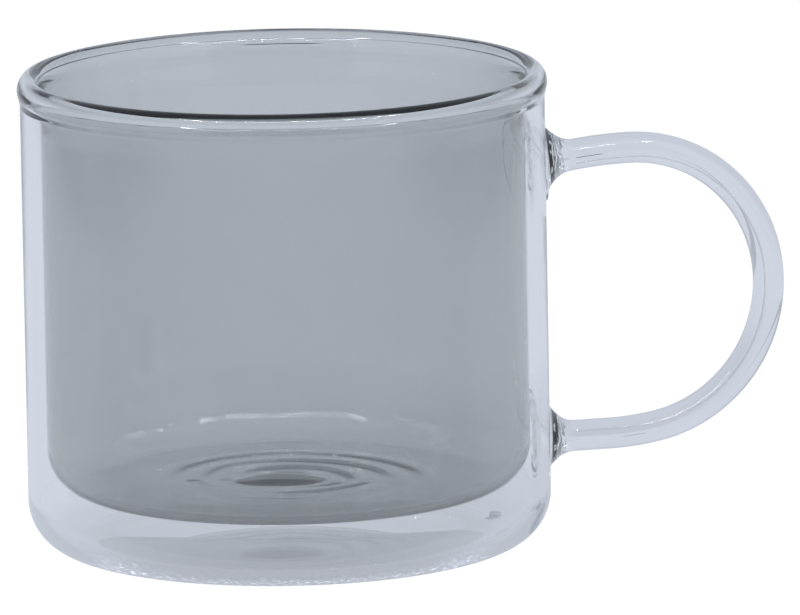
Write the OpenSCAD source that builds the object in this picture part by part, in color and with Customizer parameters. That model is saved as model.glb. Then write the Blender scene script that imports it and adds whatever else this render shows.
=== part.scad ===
// Double walled glass cup. A clear blown shell surrounds a smoke grey bowl, and
// the two walls are fused in a rolled lip, so that sealed air lies between them.
// A solid glass rod, bent while hot, is welded to the shell as a handle.
//
// Frame: +Z up, +X out through the handle, origin on the axis of the cup, on
// the plane of the ring that it stands on. Millimetres.

/* [Shell] */
// outer radius of the clear wall
body_r = 42.65; // [38:0.05:50]
// height of the cup from the table to the crest of the lip
cup_h = 78.2; // [70:0.1:110]
// thickness of the clear wall
shell_wall = 1.3; // [1:0.05:1.6]
// thickness of the clear floor
shell_floor = 2; // [1.6:0.1:2.8]
// radius of the rounding between wall and foot
foot_round = 8.3; // [6:0.1:10]
// inner radius of the ring that the cup stands on
foot_ring_r = 29; // [24:0.5:30]
// height of the hollow under the middle of the floor
push_up = 0.9; // [0.4:0.1:1.4]

/* [Lip] */
// how far the lip stands out beyond the wall
lip_bulge = 0.45; // [0.1:0.05:0.6]
// width of the lip from its crest to its outside
lip_out_w = 1.85; // [1.6:0.05:2.2]
// height of the rounding on the outside of the lip
lip_out_h = 2.3; // [1.8:0.1:3]
// width of the lip from its crest to its inside
lip_in_w = 2.3; // [2:0.05:2.5]
// height of the slanted rounding on the inside of the lip
lip_in_h = 4; // [3:0.1:4.6]
// thickness of the fused glass over the gap between the walls
lip_crest = 1.6; // [1.4:0.05:2.2]
// height over which the gap narrows to its top
gap_top_h = 1.6; // [1.2:0.1:2]
// distance from the crest in to the top of the gap
gap_inset = 0.75; // [0.5:0.05:0.9]
// how far up the outside of the lip the clear glass reaches, in degrees
seam_turn = 60; // [30:1:80]
// depth below the crest where the lip has run out into the clear wall
lip_depth = 4.9; // [4.4:0.1:6]

/* [Bowl] */
// air gap between the two walls
air_gap = 1.95; // [1.6:0.05:3]
// thickness of the grey wall
bowl_wall = 1; // [0.9:0.05:1.1]
// depth below the crest where the flare of the grey wall ends
flare_depth = 9; // [7:0.5:12]
// thickness of the grey floor
bowl_floor = 1.2; // [1:0.05:1.6]
// height of the underside of the bowl above the table
bowl_lift = 9.6; // [7:0.05:12]
// radius of the rounding between the wall and the floor of the bowl
bowl_round = 7.5; // [6.5:0.1:11]
// height of the ripples that the tool left in the floor of the bowl
ripple_h = 0.14; // [0.05:0.01:0.2]
// distance from one ripple to the next
ripple_pitch = 5.2; // [4:0.1:6]

/* [Handle] */
// diameter of the drawn rod
rod_d = 5.1; // [4.4:0.1:5.8]
// height of the upper arm above the table
arm_z = 62; // [58:0.1:64]
// height of the lower arm above the table
low_arm_z = 14.65; // [13:0.05:18]
// radius of the rod's centre line where it droops to the upper weld
droop_r = 75; // [60:1:150]
// straight length of the lower arm between its weld and its bend
low_arm_l = 5.8; // [3:0.1:10]
// radius of the rod's centre line round the grip
loop_r = 23.5; // [20:0.1:23.6]
// radius of the rod's centre line where it runs into the lower arm
sweep_r = 48; // [40:0.5:60]

/* [Welds] */
// radius of the upper weld where it spreads on the wall
weld_r = 7.4; // [6:0.1:8]
// length of the upper weld from the wall to its neck
weld_l = 6; // [4.5:0.1:7]
// radius of the lower weld where it spreads on the wall
low_weld_r = 6.7; // [5.5:0.1:7.5]
// length of the lower weld from the wall to its neck
low_weld_l = 5.6; // [4.5:0.1:7]

/* [Vent] */
// distance of the vent hole from the outer face of the wall
vent_inset = 8.35; // [7:0.05:11]
// turn of the vent hole from the handle, in degrees
vent_turn = -3.5; // [-20:0.5:20]
// diameter of the vent hole through the clear floor
vent_d = 2; // [1.6:0.1:2.4]
// diameter of the stopper's flange on the clear floor
flange_d = 3.3; // [3:0.1:4]
// height of the stopper above the clear floor
stopper_h = 1.35; // [1.1:0.05:1.8]

/* [Hidden] */
$fn = 64;

clear_glass = [0.84, 0.87, 0.92];
smoke_glass = [0.45, 0.48, 0.51];
stopper_tint = [0.78, 0.82, 0.86];

// facets round the rod, the welds and the vent
rod_fn = 24;
vent_fn = 20;
// facets of the wall where a weld is fitted to it
wall_fn = 360;
// points along the roundings and the blends of an outline
round_steps = 8;
small_steps = 5;
blend_steps = 4;
ripple_steps = 6;

// how far a cut runs past the solid that it cuts
overrun = 1;
quarter = 90;
crest_step = quarter / round_steps;
half = 180;
full = 360;

// crest of the lip, its outside and its inside
lip_at = body_r + lip_bulge - lip_out_w;
lip_r = body_r + lip_bulge;
lip_in_r = lip_at - lip_in_w;
lip_out_z = cup_h - lip_out_h;
lip_in_z = cup_h - lip_in_h;
lip_end_z = cup_h - lip_depth;
flare_end_z = cup_h - flare_depth;
// the gap between the two walls, which narrows to a ridge under the crest
shell_in_r = body_r - shell_wall;
bowl_r = shell_in_r - air_gap;
bowl_in_r = bowl_r - bowl_wall;
gap_out_r = lip_r - shell_wall;
gap_in_r = lip_in_r + bowl_wall;
gap_top_z = cup_h - lip_crest - gap_top_h;
ridge_r = lip_at - gap_inset;
// the foot and its hollow
foot_at = body_r - foot_round;
inner_round = foot_round - shell_wall;
// ripples fade out at the foot of the bowl's rounding
ripple_share = 0.9;
bowl_in_round = bowl_round - bowl_wall;
bowl_flat_r = bowl_r - bowl_round;
bowl_floor_z = bowl_lift + bowl_floor;
ripple_reach = bowl_flat_r * ripple_share;
ripple_points = floor(ripple_reach / ripple_pitch * ripple_steps);
// necks where the rod runs out into its welds
neck_at = body_r + weld_l;
low_neck_at = body_r + low_weld_l;
// centre lines of the handle's bends
loop_z = arm_z - loop_r;
sweep_z = low_arm_z + sweep_r;
sweep_at = low_neck_at + low_arm_l;
loop_at = sweep_at + sqrt(pow(sweep_r - loop_r, 2) - pow(sweep_z - loop_z, 2));
sweep_angle = atan2(sweep_z - loop_z, loop_at - sweep_at);
// droop of the upper arm from the top of the loop to its neck
droop_angle = asin((loop_at - neck_at) / droop_r);
neck_z = arm_z - droop_r * (1 - cos(droop_angle));
// the vent, the stopper's dome, and how far its stem stays inside the foot
vent_at = body_r - vent_inset;
dome_d = flange_d / 2;
flange_share = 0.3;
flange_h = stopper_h * flange_share;
stem_share = 0.2;
stem_inset = shell_floor * stem_share;

// points of an oval of half width w and half height h round c in the plane of an outline
function oval(c, w, h, from, to, steps) =
    [for (i = [0:steps]) let (a = from + (to - from) * i / steps) c + [w * cos(a), h * sin(a)]];

// points of an arc round c in the plane of an outline
function arc(c, r, from, to, steps) = oval(c, r, r, from, to, steps);

// a smooth run from p towards q, upright at both ends, without the last point
function ease(t) = t * t * (3 - 2 * t);
function blend(p, q, steps) =
    [for (i = [0:steps - 1]) [p[0] + (q[0] - p[0]) * ease(i / steps), p[1] + (q[1] - p[1]) * i / steps]];

// height of the ripples at a distance from the axis
function ripple(r) = ripple_h * cos(full * r / ripple_pitch) * max(0, 1 - r / ripple_reach);

// the hollow under the floor, from the axis out to the foot ring
function hollow(base, steps) =
    [for (i = [0:steps]) [foot_ring_r * i / steps, base + push_up * (1 - ease(i / steps))]];

// the same points from the last to the first
function back(points) = [for (i = [len(points) - 1:-1:0]) points[i]];

function shell_outside() = concat(
    hollow(0, small_steps),
    arc([foot_at, foot_round], foot_round, -quarter, 0, round_steps),
    blend([body_r, lip_end_z], [lip_r, lip_out_z], blend_steps),
    oval([lip_at, lip_out_z], lip_out_w, lip_out_h, 0, seam_turn, round_steps));

function shell_inside() = concat(
    hollow(shell_floor, small_steps),
    arc([foot_at, shell_floor + inner_round], inner_round, -quarter, 0, round_steps),
    blend([shell_in_r, lip_end_z], [gap_out_r, gap_top_z], blend_steps),
    oval([ridge_r, gap_top_z], gap_out_r - ridge_r, gap_top_h, 0, quarter, small_steps));

function bowl_outside() = concat(
    [[0, bowl_lift]],
    arc([bowl_flat_r, bowl_lift + bowl_round], bowl_round, -quarter, 0, round_steps),
    blend([bowl_r, flare_end_z], [gap_in_r, gap_top_z], blend_steps),
    oval([ridge_r, gap_top_z], ridge_r - gap_in_r, gap_top_h, half, quarter, small_steps),
    oval([lip_at, lip_out_z], lip_out_w, lip_out_h, seam_turn, quarter, blend_steps));

function bowl_inside() = concat(
    [for (i = [0:ripple_points]) let (r = i * ripple_pitch / ripple_steps) [r, bowl_floor_z + ripple(r)]],
    arc([bowl_flat_r, bowl_floor_z + bowl_in_round], bowl_in_round, -quarter, 0, round_steps),
    blend([bowl_in_r, flare_end_z], [lip_in_r, lip_in_z], blend_steps));

// clear outer wall, floor and foot, with the vent hole and a flat seat round it
module outer_shell() {
    color(clear_glass)
    difference() {
        rotate_extrude() polygon(concat(shell_outside(), back(shell_inside())));
        vent_place() {
            translate([0, 0, -overrun])
                cylinder(h = shell_floor + overrun * 2, d = vent_d, $fn = vent_fn);
            translate([0, 0, shell_floor]) cylinder(h = stopper_h, d = flange_d, $fn = vent_fn);
        }
    }
}

// grey wall and rippled floor, up to its half of the lip
module inner_bowl() {
    color(smoke_glass)
    rotate_extrude() polygon(concat(bowl_outside(),
        oval([lip_at, lip_in_z], lip_in_w, lip_in_h, quarter + crest_step, half, round_steps - 1),
        back(bowl_inside())));
}

// section of the rod, with flats so fine that it passes for round
module rod_section() {
    polygon([for (i = [0:rod_fn - 1]) rod_d / 2 * [cos(full * i / rod_fn), sin(full * i / rod_fn)]]);
}

// straight stretch of the rod from the end of a bend in to a weld's neck
module rod_arm(from, to, z) {
    translate([from, 0, z]) rotate([0, -quarter, 0]) linear_extrude(height = from - to) rod_section();
}

// bend of the rod in the XZ plane round a centre, between two angles
module rod_bend(at, z, r, from, to) {
    translate([at, 0, z]) rotate([quarter, 0, 0]) rotate([0, 0, from])
        rotate_extrude(angle = to - from) translate([r, 0]) rod_section();
}

// rod from one weld to the other
module handle_rod() {
    color(clear_glass) {
        rod_bend(loop_at, arm_z - droop_r, droop_r, quarter, quarter + droop_angle);
        rod_bend(loop_at, loop_z, loop_r, -sweep_angle, quarter);
        rod_bend(sweep_at, sweep_z, sweep_r, -quarter, -sweep_angle);
        rod_arm(sweep_at, low_neck_at, low_arm_z);
    }
}

// end of the rod from its neck on, spread on the wall while it was soft
module weld(r, l, at, z, droop) {
    sag = body_r - sqrt(pow(body_r, 2) - pow(r, 2));
    difference() {
        translate([at, 0, z]) rotate([0, -quarter - droop, 0])
            rotate_extrude($fn = rod_fn) polygon(concat(
                [[0, 0]],
                [for (i = [0:round_steps]) let (s = i / round_steps)
                    [rod_d / 2 + (r - rod_d / 2) * pow(s, 2), l * s]],
                [[r, l + sag + overrun], [0, l + sag + overrun]]));
        cylinder(h = cup_h, r = body_r, $fn = wall_fn);
    }
}

module upper_weld() {
    color(clear_glass) weld(weld_r, weld_l, neck_at, neck_z, droop_angle);
}

module lower_weld() {
    color(clear_glass) weld(low_weld_r, low_weld_l, low_neck_at, low_arm_z, 0);
}

module vent_place() {
    rotate([0, 0, vent_turn]) translate([vent_at, 0, 0]) children();
}

// soft stopper with a stem in the hole, a flange and a dome on the clear floor
module vent_stopper() {
    color(stopper_tint)
    vent_place() rotate_extrude($fn = vent_fn) polygon(concat(
        [[0, stem_inset], [vent_d / 2, stem_inset], [vent_d / 2, shell_floor],
         [flange_d / 2, shell_floor], [flange_d / 2, shell_floor + flange_h]],
        arc([0, shell_floor + stopper_h - dome_d / 2], dome_d / 2, 0, quarter, round_steps)));
}

outer_shell();
inner_bowl();
handle_rod();
upper_weld();
lower_weld();
vent_stopper();
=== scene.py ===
import math

import bpy
from mathutils import Matrix, Vector


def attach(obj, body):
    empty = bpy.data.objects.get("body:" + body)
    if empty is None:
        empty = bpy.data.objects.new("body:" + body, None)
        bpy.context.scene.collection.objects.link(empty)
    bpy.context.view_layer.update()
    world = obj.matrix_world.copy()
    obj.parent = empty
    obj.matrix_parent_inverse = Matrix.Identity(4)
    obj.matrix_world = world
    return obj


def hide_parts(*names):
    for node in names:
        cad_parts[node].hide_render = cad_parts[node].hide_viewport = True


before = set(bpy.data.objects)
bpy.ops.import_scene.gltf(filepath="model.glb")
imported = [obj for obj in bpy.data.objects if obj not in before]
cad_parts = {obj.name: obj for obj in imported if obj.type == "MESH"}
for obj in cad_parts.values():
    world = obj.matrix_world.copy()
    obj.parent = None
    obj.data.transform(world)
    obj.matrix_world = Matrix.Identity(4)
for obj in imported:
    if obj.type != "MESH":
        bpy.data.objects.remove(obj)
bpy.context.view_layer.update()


# The outer shell is the outside of the cup, blown of clear borosilicate glass
# and fire polished all over. Its floor is pushed up a little, so that the cup
# stands on a ring. Its lip is rolled over and fused with the edge of the bowl.

MM = 0.001
TURN_STEPS = 256
FACET = math.cos(math.pi / TURN_STEPS)
SHARP_EDGE = math.radians(35)
WELD_DISTANCE = 0.0000002
AT_PLACE = 0.02

SHELL_RADIUS = 42.65
CUP_HEIGHT = 78.2
SHELL_WALL = 1.3
SHELL_FLOOR = 2.0
FOOT_ROUNDING = 8.3
FOOT_RING_RADIUS = 29.0
PUSH_UP = 0.9
LIP_BULGE = 0.45
LIP_OUTER_WIDTH = 1.85
LIP_OUTER_DROP = 2.3
LIP_DEPTH = 4.9
RIDGE_INSET = 0.75
RIDGE_DROP = 1.6
ROOF_HEIGHT = 1.6
SEAM_TURN = 60

LIP_AT = SHELL_RADIUS + LIP_BULGE - LIP_OUTER_WIDTH
LIP_END_Z = CUP_HEIGHT - LIP_DEPTH
SHELL_INSIDE = SHELL_RADIUS - SHELL_WALL
ROOF_OUTER = SHELL_RADIUS + LIP_BULGE - SHELL_WALL
ROOF_Z = CUP_HEIGHT - RIDGE_DROP - ROOF_HEIGHT
RIDGE = (LIP_AT - RIDGE_INSET, CUP_HEIGHT - RIDGE_DROP)


def arc(centre, radius, start, end, steps):
    """Points of an outline along an arc, both ends included, in degrees."""
    turns = [math.radians(start + (end - start) * i / steps) for i in range(steps + 1)]
    return [(centre[0] + radius * math.cos(t), centre[1] + radius * math.sin(t)) for t in turns]


def oval(centre, half_width, height, start, end, steps):
    """The same along an oval that is half_width wide and height high."""
    return [(centre[0] + half_width * (x - centre[0]), centre[1] + height * (z - centre[1]))
            for x, z in arc(centre, 1, start, end, steps)]


def ease(t):
    return t * t * (3 - 2 * t)


def flow(p, q, steps):
    """Points of a soft run from p towards q, both ends left out."""
    return [(p[0] + (q[0] - p[0]) * ease(i / steps), p[1] + (q[1] - p[1]) * i / steps)
            for i in range(1, steps)]


def hollow(base, steps):
    """Points of the pushed up floor, from the middle out to the foot ring."""
    return [(FOOT_RING_RADIUS * i / steps, base + PUSH_UP * (1 - ease(i / steps)))
            for i in range(steps)]


def turn(name, outline):
    """Draws an outline from a plane's middle, point by point, and spins it into a closed body."""
    bpy.ops.object.select_all(action="DESELECT")
    start = (outline[0][0] * MM, 0, outline[0][1] * MM)
    bpy.ops.mesh.primitive_plane_add(size=MM, location=start)
    bpy.ops.object.mode_set(mode="EDIT")
    bpy.ops.mesh.merge(type="CENTER")
    for here, there in zip(outline, outline[1:]):
        step = ((there[0] - here[0]) * MM, 0, (there[1] - here[1]) * MM)
        bpy.ops.mesh.extrude_vertices_move(TRANSFORM_OT_translate={"value": step})
    bpy.ops.mesh.select_all(action="SELECT")
    bpy.ops.mesh.spin(steps=TURN_STEPS, angle=math.tau, center=(0, 0, 0), axis=(0, 0, 1))
    bpy.ops.mesh.select_all(action="SELECT")
    bpy.ops.mesh.remove_doubles(threshold=WELD_DISTANCE)
    bpy.ops.mesh.normals_make_consistent(inside=False)
    bpy.ops.object.mode_set(mode="OBJECT")
    settle()
    bpy.ops.object.shade_smooth_by_angle(angle=SHARP_EDGE)
    piece = bpy.context.object
    piece.name = name
    return piece


def settle():
    """Puts the place, the turn and the scale of what is selected into its mesh."""
    bpy.ops.object.transform_apply(location=True, rotation=True, scale=True)


outer_z = CUP_HEIGHT - LIP_OUTER_DROP
foot_at = SHELL_RADIUS - FOOT_ROUNDING
inside_foot = FOOT_ROUNDING - SHELL_WALL

shell_outline = hollow(0, 24) + [(FOOT_RING_RADIUS, 0)]
shell_outline += arc((foot_at, FOOT_ROUNDING), FOOT_ROUNDING, -90, 0, 32)
shell_outline += [(SHELL_RADIUS, LIP_END_Z)]
shell_outline += flow((SHELL_RADIUS, LIP_END_Z), (SHELL_RADIUS + LIP_BULGE, outer_z), 12)
shell_outline += oval((LIP_AT, outer_z), LIP_OUTER_WIDTH, LIP_OUTER_DROP, 0, SEAM_TURN, 32)
shell_seam = shell_outline[-1]
shell_outline += oval((RIDGE[0], ROOF_Z), ROOF_OUTER - RIDGE[0], ROOF_HEIGHT, 90, 0, 24)
shell_outline += flow((SHELL_INSIDE, LIP_END_Z), (ROOF_OUTER, ROOF_Z), 12)[::-1]
shell_outline += [(SHELL_INSIDE, LIP_END_Z)]
shell_outline += arc((foot_at, SHELL_FLOOR + inside_foot), inside_foot, 0, -90, 32)
shell_outline += [(FOOT_RING_RADIUS, SHELL_FLOOR)] + hollow(SHELL_FLOOR, 24)[::-1]
shell = turn("blown_outer_shell", shell_outline)


def linear(colour):
    """An sRGB hex colour as the four linear numbers that a socket takes."""
    parts = [int(colour[i:i + 2], 16) / 255 for i in (1, 3, 5)]
    return [p / 12.92 if p <= 0.04045 else ((p + 0.055) / 1.055) ** 2.4 for p in parts] + [1]


def add(tree, kind, settings=None, links=None):
    """Adds a node. A setting with a small first letter is the node's own, the rest are sockets."""
    made = tree.nodes.new("ShaderNode" + kind)
    for key, value in (settings or {}).items():
        if isinstance(key, str) and key[0].islower():
            setattr(made, key, value)
        else:
            made.inputs[key].default_value = value
    for key, source in (links or {}).items():
        tree.links.new(source, made.inputs[key])
    return made


def new_material(name):
    made = bpy.data.materials.new(name)
    made.use_nodes = True
    made.node_tree.nodes.clear()
    return made, made.node_tree


# Borosilicate glass, blown or drawn and then fire polished: water clear and
# smooth, with soft waves that only show where a reflection runs along them.
GLASS = {"Base Color": linear("#ffffff"), "Roughness": 0, "IOR": 1.47, "Transmission Weight": 1}
BLOWN_WAVE = 11
BLOWN_WAVE_HEIGHT = 0.006
WELD_SKIN = 0.9


def wavy_glass(tree, place, wave, wave_height):
    """Clear glass whose waves have a length and a height in millimetres."""
    waves = add(tree, "TexNoise", {"Scale": 1 / (wave * MM), "Detail": 2, "Roughness": 0.4},
                {"Vector": place})
    bump = add(tree, "Bump", {"Strength": 1, "Distance": wave_height * MM},
               {"Height": waves.outputs["Fac"]})
    return add(tree, "BsdfPrincipled", GLASS, {"Normal": bump.outputs[0]})


def clear_glass(name, wave, wave_height, welds=()):
    """Wavy glass without a surface at the welds, given as a height on the wall and a radius."""
    made, tree = new_material(name)
    place = add(tree, "TexCoord").outputs["Object"]
    glass = wavy_glass(tree, place, wave, wave_height)
    through = add(tree, "BsdfTransparent")
    open_way = add(tree, "LightPath").outputs["Is Shadow Ray"]
    for height, radius in welds:
        middle = (SHELL_RADIUS * MM, 0, height * MM)
        offset = add(tree, "VectorMath", {"operation": "SUBTRACT", 1: middle}, {0: place})
        parts = add(tree, "SeparateXYZ", None, {0: offset.outputs[0]})
        flat = add(tree, "CombineXYZ", None, {"Y": parts.outputs["Y"], "Z": parts.outputs["Z"]})
        away = add(tree, "VectorMath", {"operation": "LENGTH"}, {0: flat.outputs[0]})
        near = add(tree, "Math", {"operation": "LESS_THAN", 1: radius * MM},
                   {0: away.outputs["Value"]})
        skin = add(tree, "Math", {"operation": "GREATER_THAN", 1: -WELD_SKIN * MM},
                   {0: parts.outputs["X"]})
        spot = add(tree, "Math", {"operation": "MULTIPLY"},
                   {0: near.outputs[0], 1: skin.outputs[0]})
        open_way = add(tree, "Math", {"operation": "MAXIMUM"},
                       {0: open_way, 1: spot.outputs[0]}).outputs[0]
    mixed = add(tree, "MixShader", None,
                {0: open_way, 1: glass.outputs[0], 2: through.outputs[0]})
    add(tree, "OutputMaterial", None, {"Surface": mixed.outputs[0]})
    return made


# Where two pieces were melted into one, no surface is left to see.
fused_glass, fused_tree = new_material("fused_seam")
add(fused_tree, "OutputMaterial", None,
    {"Surface": add(fused_tree, "BsdfTransparent").outputs[0]})

UPPER_WELD_SPOT = (58.76, 7.78)
LOWER_WELD_SPOT = (15.45, 7.68)
shell.data.materials.append(clear_glass("blown_borosilicate", BLOWN_WAVE, BLOWN_WAVE_HEIGHT,
                                        (UPPER_WELD_SPOT, LOWER_WELD_SPOT)))
shell.data.materials.append(fused_glass)


def on_seam(face, top):
    """Whether a face lies in the seam that runs from the ridge of the gap to the lip's skin."""
    away = math.hypot(face.center.x, face.center.y) / MM / FACET
    return (abs(away - (RIDGE[0] + top[0]) / 2) < AT_PLACE
            and abs(face.center.z / MM - (RIDGE[1] + top[1]) / 2) < AT_PLACE)


for face in shell.data.polygons:
    if on_seam(face, shell_seam):
        face.material_index = 1
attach(shell, "root")
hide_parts("outer_shell")


# The inner bowl is smoke grey borosilicate glass, blown thinner than the shell
# and fused to it only at the lip. The tool that set its floor left a swirl of
# ripples, with a pool of thicker glass in the middle.

AIR_GAP = 1.95
BOWL_WALL = 1.0
BOWL_FLOOR = 1.2
BOWL_LIFT = 9.6
BOWL_ROUNDING = 7.5
LIP_INNER_WIDTH = 2.3
LIP_INNER_DROP = 4.0
FLARE_DEPTH = 9.0
SEAM_SPLIT = 0.01
SEAM_SPLIT_TURN = 0.4
FLOOR_STEPS = 120
SWIRL_TURN = math.radians(14)
SWIRL_PITCH = 5.8
SWIRL_HEIGHT = 0.21
SWIRL_REACH = 25
POOL_AT = (-1.6, -1.8)
POOL_SIZE = (7.8, 5.8)
POOL_TILT = 0.16

bowl_radius = SHELL_INSIDE - AIR_GAP
bowl_inside = bowl_radius - BOWL_WALL
bowl_flat = bowl_radius - BOWL_ROUNDING
bowl_floor_z = BOWL_LIFT + BOWL_FLOOR
inside_rounding = BOWL_ROUNDING - BOWL_WALL
lip_inside = LIP_AT - LIP_INNER_WIDTH
roof_inner = lip_inside + BOWL_WALL
ridge_inside = RIDGE[0] - SEAM_SPLIT
inner_z = CUP_HEIGHT - LIP_INNER_DROP
flare_end_z = CUP_HEIGHT - FLARE_DEPTH


def swirl(x, y):
    """Height of the floor's swirl: a wound ripple, strong on some sides only, round the pool."""
    across = x * math.cos(SWIRL_TURN) - y * math.sin(SWIRL_TURN)
    along = x * math.sin(SWIRL_TURN) + y * math.cos(SWIRL_TURN)
    away = math.hypot(across, along)
    side = math.atan2(along, across)
    wound = 0.8 * side + 0.8 * math.sin(2 * side + 0.6) - 0.4
    rings = math.cos(math.tau * away / SWIRL_PITCH + wound)
    strength = 0.5 + 0.34 * math.sin(side + 0.9) + 0.3 * math.sin(3 * side + away / 3)
    past_pool = math.hypot((across - POOL_AT[0]) / POOL_SIZE[0],
                           (along - POOL_AT[1]) / POOL_SIZE[1])
    ripple = SWIRL_HEIGHT * rings * strength * ease(min(1, max(0, past_pool - 0.75)))
    pool = POOL_TILT * (along - POOL_AT[1]) * max(0, 1 - past_pool ** 4)
    return (ripple + pool) * max(0, 1 - away / SWIRL_REACH) ** 0.7


bowl_outline = [(bowl_flat * i / 12, BOWL_LIFT) for i in range(12)]
bowl_outline += arc((bowl_flat, BOWL_LIFT + BOWL_ROUNDING), BOWL_ROUNDING, -90, 0, 32)
bowl_outline += [(bowl_radius, flare_end_z)]
bowl_outline += flow((bowl_radius, flare_end_z), (roof_inner, ROOF_Z), 12)
bowl_outline += oval((ridge_inside, ROOF_Z), ridge_inside - roof_inner, ROOF_HEIGHT, 180, 90, 12)
crest = oval((LIP_AT, outer_z), LIP_OUTER_WIDTH, LIP_OUTER_DROP,
             SEAM_TURN + SEAM_SPLIT_TURN, 90, 16)
bowl_outline += crest
bowl_outline += oval((LIP_AT, inner_z), LIP_INNER_WIDTH, LIP_INNER_DROP, 90, 180, 32)[1:]
bowl_outline += flow((bowl_inside, flare_end_z), (lip_inside, inner_z), 12)[::-1]
bowl_outline += [(bowl_inside, flare_end_z)]
bowl_outline += arc((bowl_flat, bowl_floor_z + inside_rounding), inside_rounding, 0, -90, 32)
bowl_outline += [(bowl_flat * i / FLOOR_STEPS, bowl_floor_z)
                 for i in range(FLOOR_STEPS - 1, -1, -1)]
bowl = turn("smoke_grey_bowl", bowl_outline)
for point in bowl.data.vertices:
    if abs(point.co.z / MM - bowl_floor_z) < 0.001:
        point.co.z += swirl(point.co.x / MM, point.co.y / MM) * MM
fused = bowl.data.attributes.new("fused", "FLOAT", "FACE")
for face in bowl.data.polygons:
    if on_seam(face, crest[0]):
        fused.data[face.index].value = 1

# Smoke grey borosilicate: the grey is in the glass itself, so a thicker stretch
# such as the lip or the pool is darker than the wall.
SMOKE = {"Color": linear("#0d461d"), "Density": 266}

bowl_glass, tree = new_material("smoke_borosilicate")
place = add(tree, "TexCoord").outputs["Object"]
glass = wavy_glass(tree, place, BLOWN_WAVE, BLOWN_WAVE_HEIGHT)
through = add(tree, "BsdfTransparent")
rays = add(tree, "LightPath")
mixed = add(tree, "MixShader", None,
            {0: rays.outputs["Is Shadow Ray"], 1: glass.outputs[0], 2: through.outputs[0]})
seam = add(tree, "Attribute", {"attribute_name": "fused"})
surface = add(tree, "MixShader", None,
              {0: seam.outputs["Fac"], 1: mixed.outputs[0], 2: through.outputs[0]})
smoke = add(tree, "VolumeAbsorption", SMOKE)
add(tree, "OutputMaterial", None, {"Surface": surface.outputs[0], "Volume": smoke.outputs[0]})
bowl.data.materials.append(bowl_glass)
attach(bowl, "root")
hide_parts("inner_bowl")


# The handle is a solid rod of clear glass, drawn out and then bent over a form
# while it was soft. It leaves the upper weld with a slight droop, loops round,
# sweeps back and ends straight. A fine line of air was drawn out with it.

ROD_DIAMETER = 5.1
ARM_Z = 62.0
LOW_ARM_Z = 14.65
LOW_ARM_LENGTH = 5.8
DROOP_RADIUS = 75.0
LOOP_RADIUS = 23.5
SWEEP_RADIUS = 48.0
WELD_LENGTH = 6.0
LOW_WELD_LENGTH = 5.6
ROD_SIDES = 64
AIR_LINE_TURN = math.radians(-61)
AIR_LINE_OUT = 2.15
AIR_LINE_RADIUS = 0.13
AIR_LINE_SIDES = 16
DRAWN_WAVE = 7
DRAWN_WAVE_HEIGHT = 0.01

rod_radius = ROD_DIAMETER / 2
neck_at = SHELL_RADIUS + WELD_LENGTH
low_neck_at = SHELL_RADIUS + LOW_WELD_LENGTH
loop_z = ARM_Z - LOOP_RADIUS
sweep_z = LOW_ARM_Z + SWEEP_RADIUS
sweep_at = low_neck_at + LOW_ARM_LENGTH
loop_at = sweep_at + math.sqrt((SWEEP_RADIUS - LOOP_RADIUS) ** 2 - (sweep_z - loop_z) ** 2)
sweep_turn = math.atan2(sweep_z - loop_z, loop_at - sweep_at)
droop_turn = math.asin((loop_at - neck_at) / DROOP_RADIUS)
neck_z = ARM_Z - DROOP_RADIUS * (1 - math.cos(droop_turn))


def bent(name, sides, radius, out, turned_to, inside):
    """A round string of glass or air along the handle's four runs, out from the rod's middle."""
    bpy.ops.object.select_all(action="DESELECT")
    inwards = out * math.cos(turned_to)
    start = (neck_at + inwards * math.sin(droop_turn), out * math.sin(turned_to),
             neck_z - inwards * math.cos(droop_turn))
    bpy.ops.mesh.primitive_circle_add(vertices=sides, radius=radius * MM,
                                      location=[v * MM for v in start],
                                      rotation=(0, math.pi / 2 - droop_turn, 0))
    bpy.ops.object.mode_set(mode="EDIT")
    bpy.ops.mesh.select_all(action="SELECT")
    for steps, turned, at, z in ((24, droop_turn, loop_at, ARM_Z - DROOP_RADIUS),
                                 (120, math.pi / 2 + sweep_turn, loop_at, loop_z),
                                 (24, math.pi / 2 - sweep_turn, sweep_at, sweep_z)):
        bpy.ops.mesh.spin(steps=steps, angle=-turned, center=(at * MM, 0, z * MM), axis=(0, 1, 0))
    last_run = ((low_neck_at - sweep_at) * MM, 0, 0)
    bpy.ops.mesh.extrude_region_move(TRANSFORM_OT_translate={"value": last_run})
    bpy.ops.mesh.select_all(action="SELECT")
    bpy.ops.mesh.remove_doubles(threshold=WELD_DISTANCE)
    bpy.ops.mesh.fill_holes(sides=0)
    bpy.ops.mesh.normals_make_consistent(inside=inside)
    bpy.ops.object.mode_set(mode="OBJECT")
    settle()
    bpy.ops.object.shade_smooth_by_angle(angle=SHARP_EDGE)
    piece = bpy.context.object
    piece.name = name
    return piece


rod = bent("bent_handle_rod", ROD_SIDES, rod_radius, 0, 0, False)
air_line = bent("air_line", AIR_LINE_SIDES, AIR_LINE_RADIUS, AIR_LINE_OUT, AIR_LINE_TURN, True)
for piece in (rod, air_line):
    piece.select_set(True)
bpy.context.view_layer.objects.active = rod
bpy.ops.object.join()

# Drawn borosilicate rod: as clear as the shell, with shorter and higher waves.
# Its two end faces are gone, where it was melted into the welds.
rod_glass = clear_glass("drawn_rod_glass", DRAWN_WAVE, DRAWN_WAVE_HEIGHT)
rod.data.materials.append(rod_glass)
rod.data.materials.append(fused_glass)
for face in rod.data.polygons:
    if len(face.vertices) > 4:
        face.material_index = 1
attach(rod, "root")
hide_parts("handle_rod")


# Each weld is an end of the rod that was pressed on the shell while both were
# soft. It spread into a flared foot, which follows the curve of the wall and
# was pushed up a little, with four folds across its front and its back.

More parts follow.
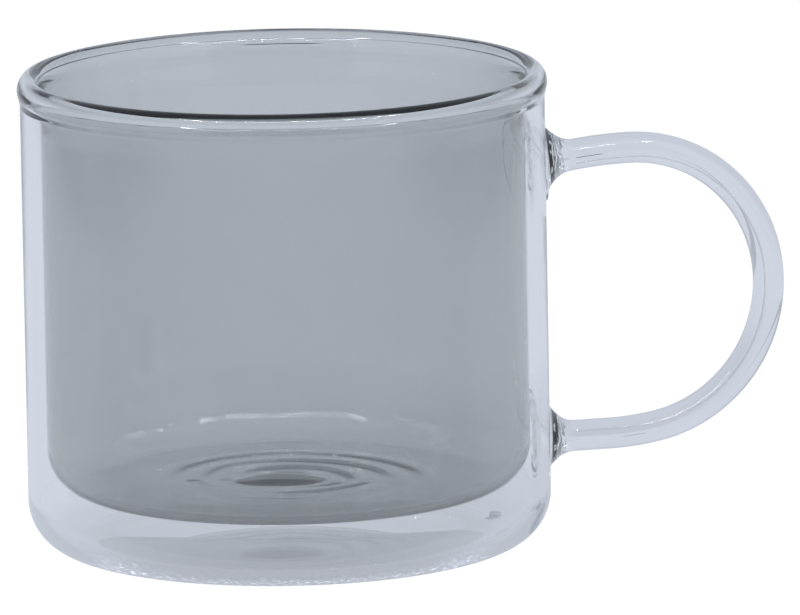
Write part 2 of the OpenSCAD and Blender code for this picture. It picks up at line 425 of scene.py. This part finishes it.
WELD_RADIUS = 7.8
LOW_WELD_RADIUS = 7.7
WELD_STEPS = 80
WELD_PUSH_UP = 0.8
INTO_WALL = 2
FOLDS = ((0.27, 0.08), (0.39, 0.14), (0.51, 0.17), (0.64, 0.19))
FOLD_WIDTH = 0.022
FOLDS_END = 0.98
CUTTER_SIDES = 1024
CUTTER_LENGTH = 200


def fold(depth, side, at, deep):
    """How far a fold pulls the skin in. Depth and place run from 0 at the neck to 1 at the wall."""
    wander = (at + 0.05 * math.sin(2 * side + 9 * at) + 0.025 * math.sin(5 * side)
              + 0.012 * math.sin(13 * side))
    strength = math.sin(side) ** 2 * (0.65 + 0.35 * math.sin(3 * side + 20 * at))
    return deep * strength * math.exp(-((depth - wander) / FOLD_WIDTH) ** 2)


def flared_end(name, node, radius, length, at, z, droop):
    """A rod's end, turned from its neck to the wall, pushed up there and cut to the wall."""
    flare = [(0, 0)]
    for i in range(WELD_STEPS + 1):
        depth = math.sin(math.pi / 2 * i / WELD_STEPS)
        spread = (1 - math.sqrt(1 - depth ** 2) + depth ** 2) / 2
        flare += [(rod_radius + (radius - rod_radius) * spread, length * depth)]
    flare += [(radius, length + INTO_WALL), (0, length + INTO_WALL)]
    piece = turn(name, flare)
    for point in piece.data.vertices:
        depth = point.co.z / MM / length
        away = math.hypot(point.co.x, point.co.y) / MM
        if away > rod_radius - 0.1 and depth < FOLDS_END:
            side = math.atan2(point.co.y, point.co.x)
            pulled = 1 - sum(fold(depth, side, middle, deep) for middle, deep in FOLDS) / away
            point.co.x *= pulled
            point.co.y *= pulled
    piece.rotation_euler = (0, -math.pi / 2 - droop, 0)
    piece.location = (at * MM, 0, z * MM)
    settle()
    wall_radius = SHELL_RADIUS * MM
    for point in piece.data.vertices:
        depth = min(1, max(0, (at - point.co.x / MM) / length))
        point.co.z += (length * math.tan(droop) * depth + WELD_PUSH_UP * depth ** 2) * MM
        point.co.x -= (wall_radius - math.sqrt(wall_radius ** 2 - point.co.y ** 2)) * depth
    bpy.ops.mesh.primitive_cylinder_add(vertices=CUTTER_SIDES, radius=wall_radius,
                                        depth=CUTTER_LENGTH * MM)
    wall = bpy.context.object
    bpy.context.view_layer.objects.active = piece
    cut = piece.modifiers.new("cut", "BOOLEAN")
    cut.operation = "DIFFERENCE"
    cut.object = wall
    bpy.ops.object.modifier_apply(modifier="cut")
    bpy.data.objects.remove(wall)
    bpy.ops.object.select_all(action="DESELECT")
    piece.select_set(True)
    bpy.ops.object.shade_smooth_by_angle(angle=SHARP_EDGE)
    piece.data.materials.clear()
    piece.data.materials.append(rod_glass)
    piece.data.materials.append(fused_glass)
    for face in piece.data.polygons:
        off_wall = abs(math.hypot(face.center.x, face.center.y) / MM - SHELL_RADIUS)
        at_neck = face.normal.x > 0.9 and face.center.x / MM > at - 0.5
        face.material_index = 1 if off_wall < AT_PLACE or at_neck else 0
    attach(piece, "root")
    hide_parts(node)


flared_end("upper_weld_flare", "upper_weld", WELD_RADIUS, WELD_LENGTH, neck_at, neck_z, droop_turn)
flared_end("lower_weld_flare", "lower_weld", LOW_WELD_RADIUS, LOW_WELD_LENGTH, low_neck_at,
           LOW_ARM_Z, 0)


# The vent stopper is moulded of soft silicone and pushed into the 2 mm hole in
# the clear floor, which let the air between the walls out. A thin flange lies
# on the floor, and a rounded knob stands on it.

VENT_AT = 34.3
VENT_TURN = math.radians(-3.5)
VENT_DIAMETER = 2.0
FLANGE_DIAMETER = 3.3
FLANGE_EDGE = 0.12
NECK_ROUNDING = 0.2
KNOB_ROUNDING = 0.35
STOPPER_HEIGHT = 1.35
PLUG_END = 0.4
PLUG_BEVEL = 0.2

plug = VENT_DIAMETER / 2
flange = FLANGE_DIAMETER / 2
knob_top = SHELL_FLOOR + STOPPER_HEIGHT
stopper_outline = [(0, PLUG_END), (plug - PLUG_BEVEL, PLUG_END), (plug, PLUG_END + PLUG_BEVEL),
                   (plug, SHELL_FLOOR), (flange, SHELL_FLOOR)]
stopper_outline += arc((flange - FLANGE_EDGE, SHELL_FLOOR + FLANGE_EDGE), FLANGE_EDGE, 0, 90, 6)
stopper_outline += arc((plug + NECK_ROUNDING, SHELL_FLOOR + 2 * FLANGE_EDGE + NECK_ROUNDING),
                       NECK_ROUNDING, 270, 180, 6)
stopper_outline += arc((plug - KNOB_ROUNDING, knob_top - KNOB_ROUNDING), KNOB_ROUNDING, 0, 90, 10)
stopper_outline += [(0, knob_top)]
stopper = turn("silicone_vent_stopper", stopper_outline)
stopper.location = (VENT_AT * MM * math.cos(VENT_TURN), VENT_AT * MM * math.sin(VENT_TURN), 0)
settle()

# Translucent silicone, moulded: milky and nearly white, with the soft gloss and
# the fine grain of its mould.
GRAIN = 0.4
GRAIN_HEIGHT = 0.004
SILICONE = {"Base Color": linear("#e4e8ee"), "Roughness": 0.12, "IOR": 1.41,
            "Transmission Weight": 0.1}

silicone, tree = new_material("moulded_silicone")
place = add(tree, "TexCoord").outputs["Object"]
grain = add(tree, "TexNoise", {"Scale": 1 / (GRAIN * MM), "Detail": 3}, {"Vector": place})
bump = add(tree, "Bump", {"Strength": 0.3, "Distance": GRAIN_HEIGHT * MM},
           {"Height": grain.outputs["Fac"]})
milky = add(tree, "BsdfPrincipled", SILICONE, {"Normal": bump.outputs[0]})
add(tree, "OutputMaterial", None, {"Surface": milky.outputs[0]})
stopper.data.materials.append(silicone)
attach(stopper, "root")
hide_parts("vent_stopper")


# The cup stands on pale paper in a light tent that is open towards the camera.
# The photograph is cut out to pure white round the cup, but its glass still
# shows the pale blue grey paper, the duller side walls and the dark blue room.

PAPER = linear("#d0d6e2")
SIDE_WALL = linear("#b0b4be")
ROOM = linear("#15284c")
FRONT_TURN = math.radians(-14)
PAPER_FRONT = 0.44
PAPER_SIDE = 0.29
PAPER_BLEND = 0.03
BOTH = {"operation": "MULTIPLY"}


def soft(start, end, before=0, after=1):
    """Settings of a soft run from one value to another, between two places."""
    return {"interpolation_type": "SMOOTHSTEP", "From Min": start, "From Max": end,
            "To Min": before, "To Max": after}


def seen_by(tree, plain, in_glass, cut_out):
    """What plain light, the glass and the camera see of the paper, as one shader."""
    rays = add(tree, "LightPath")
    by_glass = add(tree, "Math", {"operation": "MAXIMUM"},
                   {0: rays.outputs["Is Glossy Ray"], 1: rays.outputs["Is Transmission Ray"]})
    lights = add(tree, "MixShader", None,
                 {0: by_glass.outputs[0], 1: plain.outputs[0], 2: in_glass.outputs[0]})
    return add(tree, "MixShader", None, {0: rays.outputs["Is Camera Ray"],
                                         1: lights.outputs[0], 2: cut_out.outputs[0]}).outputs[0]


# Matt white paper, pressed smooth. What the glass sees of it carries painted
# shade: a painted shadow under the cup, in front of its foot and behind the
# handle's loop. Only the thick glass of the foot shows a painted belt of light,
# for the light that the foot gathers on the paper, broken up into fine flecks
# of painted glint.
# Painted shadows on the paper: each darkens it from a start to an end distance, in metres, down to
# the given level.
CUP_SHADE = (0.02, 0.055, 0.68)
LOOP_SHADE = (0.03, 0.1, 0.9)
LOOP_SHADE_AT = (0.075, 0.045, 0)
FOOT_SHADE = (-0.036, -0.014, 0.8)
# A painted belt of light round the foot, broken into painted glints, stands in for the light that
# the foot's glass gathers on the paper.
BELT_EDGE = (0.0338, 0.0358)
BELT_END = (-0.02, -0.01)
BELT_LIGHT = 0.1
GLINT_LIGHT = 0.9
GLINTS_PER_MM = 1.5
GLINT_EDGE = (0.53, 0.65)
THROUGH_FOOT = 2.5
CUT_OUT_LIGHT = 0.93

bpy.ops.object.select_all(action="DESELECT")
bpy.ops.mesh.primitive_plane_add(size=8, location=(0, 0, 0))
paper_floor = bpy.context.object
paper_floor.name = "paper_floor"
paper, tree = new_material("pale_paper")
place = add(tree, "TexCoord").outputs["Object"]
turned = add(tree, "Mapping", {"Rotation": (0, 0, -FRONT_TURN)}, {"Vector": place})
along = add(tree, "SeparateXYZ", None, {0: turned.outputs[0]})
aside = add(tree, "Math", {"operation": "ABSOLUTE"}, {0: along.outputs["X"]})
past_side = add(tree, "MapRange", soft(PAPER_SIDE - PAPER_BLEND, PAPER_SIDE + PAPER_BLEND),
                {"Value": aside.outputs[0]})
past_front = add(tree, "MapRange",
                 soft(-PAPER_FRONT - PAPER_BLEND, -PAPER_FRONT + PAPER_BLEND, 1, 0),
                 {"Value": along.outputs["Y"]})
walled = add(tree, "MixRGB", {1: PAPER, 2: SIDE_WALL}, {0: past_side.outputs[0]})
tone = add(tree, "MixRGB", {2: ROOM}, {0: past_front.outputs[0], 1: walled.outputs[0]})

# The painted shade: a painted shadow round the cup, one round a spot behind the loop and one in
# front of the foot.
away = add(tree, "VectorMath", {"operation": "LENGTH"}, {0: place})
from_loop = add(tree, "VectorMath", {"operation": "DISTANCE", 1: LOOP_SHADE_AT}, {0: place})
painted_cup_shadow = add(tree, "MapRange", soft(*CUP_SHADE), {"Value": away.outputs["Value"]})
painted_loop_shadow = add(tree, "MapRange", soft(*LOOP_SHADE), {"Value": from_loop.outputs["Value"]})
painted_foot_shade = add(tree, "MapRange", soft(*FOOT_SHADE), {"Value": along.outputs["Y"]})
painted_shade = add(tree, "Math", BOTH, {0: painted_cup_shadow.outputs[0], 1: painted_loop_shadow.outputs[0]})
painted_shade = add(tree, "Math", BOTH, {0: painted_shade.outputs[0], 1: painted_foot_shade.outputs[0]})

# Painted glints: a fine noise breaks the painted belt of light into flecks.
broken = add(tree, "TexNoise", {"Scale": GLINTS_PER_MM / MM, "Detail": 1, "Roughness": 0.4},
             {"Vector": place})
painted_glint = add(tree, "MapRange", soft(*GLINT_EDGE, BELT_LIGHT, GLINT_LIGHT),
            {"Value": broken.outputs["Fac"]})
on_ring = add(tree, "MapRange", soft(*BELT_EDGE, 1, 0), {"Value": away.outputs["Value"]})
in_front = add(tree, "MapRange", soft(*BELT_END, 1, 0), {"Value": along.outputs["Y"]})
crossed = add(tree, "LightPath").outputs["Transmission Depth"]
by_foot = add(tree, "Math", {"operation": "LESS_THAN", 1: THROUGH_FOOT}, {0: crossed})
painted_belt = add(tree, "Math", BOTH, {0: on_ring.outputs[0], 1: in_front.outputs[0]})
painted_belt = add(tree, "Math", BOTH, {0: by_foot.outputs[0], 1: painted_belt.outputs[0]})
painted_belt_light = add(tree, "Math", BOTH, {0: painted_belt.outputs[0], 1: painted_glint.outputs[0]})
# The painted shade and the painted belt of light together scale the paper's tone.
painted_shade_and_light = add(tree, "Math", {"operation": "ADD"}, {0: painted_shade.outputs[0], 1: painted_belt_light.outputs[0]})
shaded = add(tree, "MixRGB", {"blend_type": "MULTIPLY", 0: 1},
             {1: tone.outputs[0], 2: painted_shade_and_light.outputs[0]})

plain = add(tree, "Emission", {"Color": PAPER, "Strength": 1})
in_glass = add(tree, "Emission", {"Strength": 1}, {"Color": shaded.outputs[0]})
glow = add(tree, "Emission", {"Color": linear("#ffffff"), "Strength": CUT_OUT_LIGHT})
matt = add(tree, "BsdfDiffuse", {"Color": linear("#616161")})
cut_out = add(tree, "AddShader", None, {0: glow.outputs[0], 1: matt.outputs[0]})
add(tree, "OutputMaterial", None, {"Surface": seen_by(tree, plain, in_glass, cut_out)})
paper_floor.data.materials.append(paper)

# The rest of the tent lies far off, in the world: paper behind and above, duller
# walls at the sides, and the opening onto the dark room in front.
OPENING_SIDE = (0.6, 0.8)
OPENING_TOP = (0.75, 0.95)
WALL_BACK = (0.5, 0.75)
WALL_TOP = (0.45, 0.75)

world = bpy.data.worlds.new("light_tent")
bpy.context.scene.world = world
world.use_nodes = True
tree = world.node_tree
tree.nodes.clear()
way = add(tree, "TexCoord").outputs["Generated"]
turned = add(tree, "Mapping", {"Rotation": (0, 0, -FRONT_TURN)}, {"Vector": way})
along = add(tree, "SeparateXYZ", None, {0: turned.outputs[0]})
ahead = add(tree, "Math", {"operation": "MULTIPLY", 1: -1.0}, {0: along.outputs["Y"]})
some = add(tree, "Math", {"operation": "MAXIMUM", 1: 0.01}, {0: ahead.outputs[0]})
aside = add(tree, "Math", {"operation": "ABSOLUTE"}, {0: along.outputs["X"]})
wide = add(tree, "Math", {"operation": "DIVIDE"}, {0: aside.outputs[0], 1: some.outputs[0]})
high = add(tree, "Math", {"operation": "DIVIDE"}, {0: along.outputs["Z"], 1: some.outputs[0]})
inside = add(tree, "MapRange", soft(*OPENING_SIDE, 1, 0), {"Value": wide.outputs[0]})
below = add(tree, "MapRange", soft(*OPENING_TOP, 1, 0), {"Value": high.outputs[0]})
opening = add(tree, "Math", BOTH, {0: inside.outputs[0], 1: below.outputs[0]})
beside = add(tree, "MapRange", soft(*WALL_BACK, 1, 0), {"Value": along.outputs["Y"]})
low = add(tree, "MapRange", soft(*WALL_TOP, 1, 0), {"Value": along.outputs["Z"]})
side_wall = add(tree, "Math", BOTH, {0: beside.outputs[0], 1: low.outputs[0]})
walled = add(tree, "MixRGB", {1: PAPER, 2: SIDE_WALL}, {0: side_wall.outputs[0]})
tone = add(tree, "MixRGB", {2: ROOM}, {0: opening.outputs[0], 1: walled.outputs[0]})
plain = add(tree, "Background", {"Color": PAPER})
in_glass = add(tree, "Background", None, {"Color": tone.outputs[0]})
cut_out = add(tree, "Background", {"Color": linear("#ffffff")})
add(tree, "OutputWorld", None, {"Surface": seen_by(tree, plain, in_glass, cut_out)})


# Rows of small lamps with clear lenses hang along the top of the tent's open
# side and along the first stretch of its two sides. The lip, the bowl and the
# rod mirror them as dotted lines. They are larger than real ones, to show.

LAMP_PITCH = 0.0083
LAMP_RADIUS = 0.0026
LAMP_LENGTH = 3
LAMP_HEIGHT = 0.376
LAMP_LIGHT = 60
LAMP_ROWS = (("front_lamps", (-0.19, -0.295, LAMP_HEIGHT), (LAMP_PITCH, 0, 0), 53),
             ("left_lamps", (-0.215, -0.275, LAMP_HEIGHT), (0, LAMP_PITCH, 0), 17),
             ("right_lamps", (0.265, -0.275, LAMP_HEIGHT), (0, LAMP_PITCH, 0), 17))

led, tree = new_material("led_lens")
light = add(tree, "Emission", {"Color": linear("#f4f7ff"), "Strength": LAMP_LIGHT})
add(tree, "OutputMaterial", None, {"Surface": light.outputs[0]})
for name, first, step, count in LAMP_ROWS:
    bpy.ops.object.select_all(action="DESELECT")
    bpy.ops.mesh.primitive_uv_sphere_add(segments=10, ring_count=6, radius=LAMP_RADIUS,
                                         location=first)
    lamps = bpy.context.object
    lamps.scale = (1, 1, LAMP_LENGTH)
    lamps.name = name
    settle()
    row = lamps.modifiers.new("row", "ARRAY")
    row.count = count
    row.use_relative_offset = False
    row.use_constant_offset = True
    row.constant_offset_displace = step
    bpy.ops.object.modifier_apply(modifier="row")
    lamps.rotation_euler = (0, 0, FRONT_TURN)
    settle()
    lamps.data.materials.append(led)
    lamps.visible_camera = False


# The camera stands a little above the lip, with a long lens, and the handle is
# turned 14 degrees away from it. Three small turns bring the cup to its place
# in the picture.

LENS_MM = 690.57
SENSOR_MM = 36
DISTANCE = 2.5
AIM_Z = 0.038
RISE = math.radians(10.62)
YAW = math.radians(-0.425)
PITCH = math.radians(0.016)
ROLL = math.radians(1.094)

sight = Vector((0, math.cos(RISE), -math.sin(RISE)))
right = Vector((1, 0, 0))
up = right.cross(sight)
stand_at = Vector((0, 0, AIM_Z)) - sight * DISTANCE
yaw = Matrix.Rotation(YAW, 3, up)
sight, right = yaw @ sight, yaw @ right
pitch = Matrix.Rotation(PITCH, 3, right)
sight, up = pitch @ sight, pitch @ up
roll = Matrix.Rotation(ROLL, 3, sight)
right, up = roll @ right, roll @ up
stand = Matrix((right, up, -sight)).transposed().to_4x4()
stand.translation = stand_at
bpy.ops.object.camera_add()
camera = bpy.context.object
camera.matrix_world = Matrix.Rotation(FRONT_TURN, 4, "Z") @ stand
camera.data.sensor_width = SENSOR_MM
camera.data.lens = LENS_MM
camera.data.clip_end = 20

# Light crosses up to a dozen skins of glass and runs along inside the lip, and
# the mirrored lamps are far brighter than the glass, so neither is cut short.
scene = bpy.context.scene
scene.camera = camera
scene.view_settings.view_transform = "Standard"
scene.cycles.max_bounces = 48
scene.cycles.transmission_bounces = 48
scene.cycles.glossy_bounces = 24
scene.cycles.transparent_max_bounces = 48
scene.cycles.sample_clamp_indirect = 0
